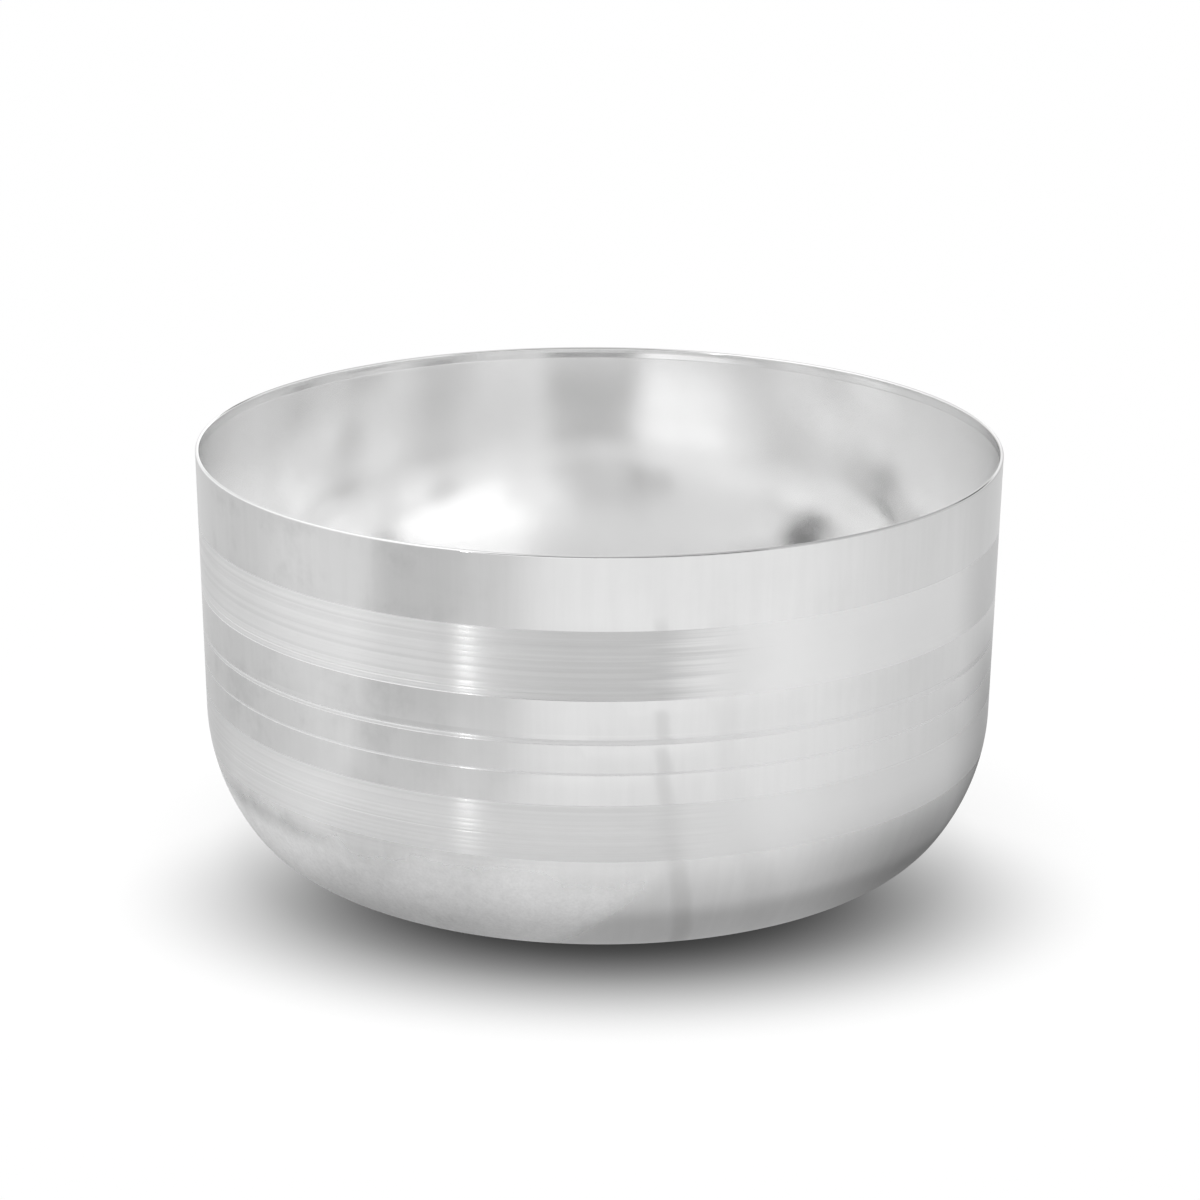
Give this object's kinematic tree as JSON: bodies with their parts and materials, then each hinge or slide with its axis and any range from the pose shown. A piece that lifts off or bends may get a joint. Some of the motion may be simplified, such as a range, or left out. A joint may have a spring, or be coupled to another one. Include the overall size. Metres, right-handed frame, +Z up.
{
  "type": "offering bowl",
  "caption": "Round silver offering bowl, straight walled and open, with fine turned line bands, a thickened rim and a small flat base.",
  "frame": {"origin": "centre of the flat base, on the surface that the bowl stands on", "axes": "+Z up along the axis of the bowl, out of its mouth; +X and +Y are free, because the bowl is round, and the pictured side faces -Y"},
  "size_m": [0.09, 0.09, 0.0469],
  "materials": {
    "silver": "polished, with satin bands of turned lines"
  },
  "bodies": {
    "root": {"bowl": "silver"}
  },
  "joints": []
}
